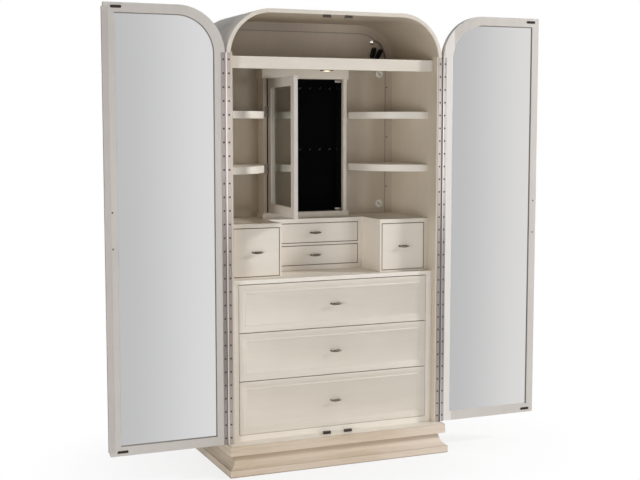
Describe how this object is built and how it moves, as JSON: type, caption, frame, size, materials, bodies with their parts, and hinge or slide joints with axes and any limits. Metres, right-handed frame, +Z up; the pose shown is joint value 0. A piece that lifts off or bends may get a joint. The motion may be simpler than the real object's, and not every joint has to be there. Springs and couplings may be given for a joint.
{
  "type": "wardrobe",
  "caption": "Arched wardrobe with mirrored doors on full-length hinges, a chest of drawers, corner shelves, a glazed jewellery cabinet and a lit hat shelf.",
  "frame": {"origin": "centre of the footprint of case, plinth and folded-back doors, on the floor", "axes": "+X across the case to the viewer's right, +Y from the doors to the back, +Z up"},
  "size_m": [2.2066, 0.5688, 2.134],
  "materials": {
    "cream_paint": "satin cream lacquer",
    "back_board": "satin lacquer",
    "plain_board": "plain board",
    "brushed_tan": "brushed tan lacquer",
    "hinge_steel": "satin",
    "hook_steel": "polished",
    "dark_pewter": "dark pewter",
    "mirror": "silvered",
    "glass": "clear",
    "black_velvet": "velvet",
    "light_lens": "frosted",
    "grommet_plastic": "satin",
    "catch_plastic": "satin",
    "white_plastic": "satin",
    "black_plastic": "matte"
  },
  "bodies": {
    "case": {"case_shell": "cream_paint", "side_liners": "cream_paint", "back_frame": "back_board", "back_panel": "back_board", "case_floor": "cream_paint", "plinth_frame": "brushed_tan", "plinth_fascia": "brushed_tan", "plinth_moulding": "brushed_tan", "hat_shelf": "cream_paint", "puck_light": "hinge_steel", "puck_lens": "light_lens", "grommets": "grommet_plastic", "chest_frame": "cream_paint", "chest_top": "cream_paint", "dust_boards": "plain_board", "side_boxes": "cream_paint", "centre_box": "cream_paint", "corner_shelves": "cream_paint", "shelf_pins": "hinge_steel", "jewel_case": "cream_paint", "jewel_trim": "cream_paint", "velvet_lining": "black_velvet", "jewel_hooks": "hook_steel", "magnet_catches": "catch_plastic", "case_hinge_leaves": "hinge_steel", "hinge_pins": "hinge_steel", "case_screws": "hinge_steel", "lead_clip": "white_plastic", "light_lead": "black_plastic", "lead_hank": "black_plastic", "lead_plug": "black_plastic"},
    "left_door": {"left_door_frame": "cream_paint", "left_door_panel": "cream_paint", "left_mirror": "mirror", "astragal": "cream_paint", "left_door_hardware": "hinge_steel", "left_door_pull": "dark_pewter"},
    "right_door": {"right_door_frame": "cream_paint", "right_door_panel": "cream_paint", "right_mirror": "mirror", "right_door_hardware": "hinge_steel", "right_door_pull": "dark_pewter"},
    "jewel_door": {"jewel_door_frame": "cream_paint", "jewel_door_glass": "glass", "jewel_door_hinges": "hinge_steel"},
    "drawer_upper": {"chest_drawer_upper": "cream_paint", "pull_upper": "dark_pewter"},
    "drawer_middle": {"chest_drawer_middle": "cream_paint", "pull_middle": "dark_pewter"},
    "drawer_lower": {"chest_drawer_lower": "cream_paint", "pull_lower": "dark_pewter"},
    "small_drawer_upper": {"centre_drawer_upper": "cream_paint", "pull_centre_upper": "dark_pewter"},
    "small_drawer_lower": {"centre_drawer_lower": "cream_paint", "pull_centre_lower": "dark_pewter"},
    "side_drawer_l": {"side_drawer_left": "cream_paint", "pull_left": "dark_pewter"},
    "side_drawer_r": {"side_drawer_right": "cream_paint", "pull_right": "dark_pewter"}
  },
  "joints": [
    {"name": "left_door_swing", "type": "hinge", "parent": "case", "child": "left_door", "pos_m": [-0.54525, -0.2202, 0.139], "axis": [0, 0, -1], "range_deg": [-180, 0]},
    {"name": "right_door_swing", "type": "hinge", "parent": "case", "child": "right_door", "pos_m": [0.55475, -0.2202, 0.139], "axis": [0, 0, 1], "range_deg": [-180, 0]},
    {"name": "jewel_door_swing", "type": "hinge", "parent": "case", "child": "jewel_door", "pos_m": [-0.2005, 0.1848, 0.139], "axis": [0, 0, -1], "range_deg": [-93.5, 6.5]},
    {"name": "upper_drawer_slide", "type": "slide", "parent": "case", "child": "drawer_upper", "axis": [0, -1, 0], "range_m": [0, 0.32]},
    {"name": "middle_drawer_slide", "type": "slide", "parent": "case", "child": "drawer_middle", "axis": [0, -1, 0], "range_m": [0, 0.32]},
    {"name": "lower_drawer_slide", "type": "slide", "parent": "case", "child": "drawer_lower", "axis": [0, -1, 0], "range_m": [0, 0.32]},
    {"name": "small_upper_slide", "type": "slide", "parent": "case", "child": "small_drawer_upper", "axis": [0, -1, 0], "range_m": [0, 0.12]},
    {"name": "small_lower_slide", "type": "slide", "parent": "case", "child": "small_drawer_lower", "axis": [0, -1, 0], "range_m": [0, 0.12]},
    {"name": "left_side_drawer_slide", "type": "slide", "parent": "case", "child": "side_drawer_l", "axis": [0, -1, 0], "range_m": [0, 0.26]},
    {"name": "right_side_drawer_slide", "type": "slide", "parent": "case", "child": "side_drawer_r", "axis": [0, -1, 0], "range_m": [0, 0.26]}
  ]
}
